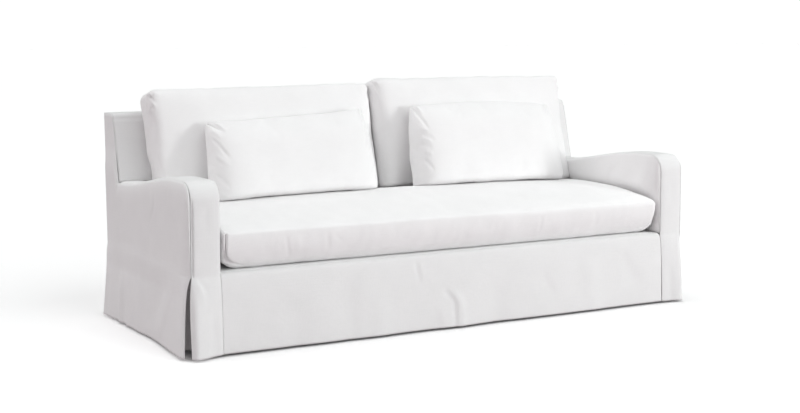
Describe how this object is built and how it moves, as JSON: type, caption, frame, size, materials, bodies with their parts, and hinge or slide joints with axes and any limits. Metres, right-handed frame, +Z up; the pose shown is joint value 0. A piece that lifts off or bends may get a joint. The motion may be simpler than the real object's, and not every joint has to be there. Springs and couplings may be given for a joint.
{
  "type": "sofa slipcover with cushions",
  "caption": "Fitted slipcover for a long sofa, hollow underneath, with low scooped arms, a skirt to the floor with kick pleats at its corners, and seat, back and lumbar cushions.",
  "frame": {"origin": "at the level of the hems, under the middle of the cover's overall outline", "axes": "+X along the sofa, to the right of somebody who faces it; +Y from its front to its back; +Z up"},
  "size_m": [2.206, 0.9926, 0.9054],
  "materials": {
    "cover_linen": "matte",
    "cushion_linen": "matte"
  },
  "bodies": {
    "root": {"outside_arm_left": "cover_linen", "outside_arm_right": "cover_linen", "arm_boxing_left": "cover_linen", "arm_boxing_right": "cover_linen", "inside_arm_left": "cover_linen", "inside_arm_right": "cover_linen", "deck": "cover_linen", "front_panel": "cover_linen", "inside_back": "cover_linen", "outside_back": "cover_linen", "pleat_gusset_front_left": "cover_linen", "pleat_gusset_front_right": "cover_linen", "pleat_gusset_back_left": "cover_linen", "pleat_gusset_back_right": "cover_linen", "seat_cushion": "cushion_linen", "back_cushion_left": "cushion_linen", "back_cushion_right": "cushion_linen", "lumbar_pillow_left": "cushion_linen", "lumbar_pillow_right": "cushion_linen"}
  },
  "joints": []
}
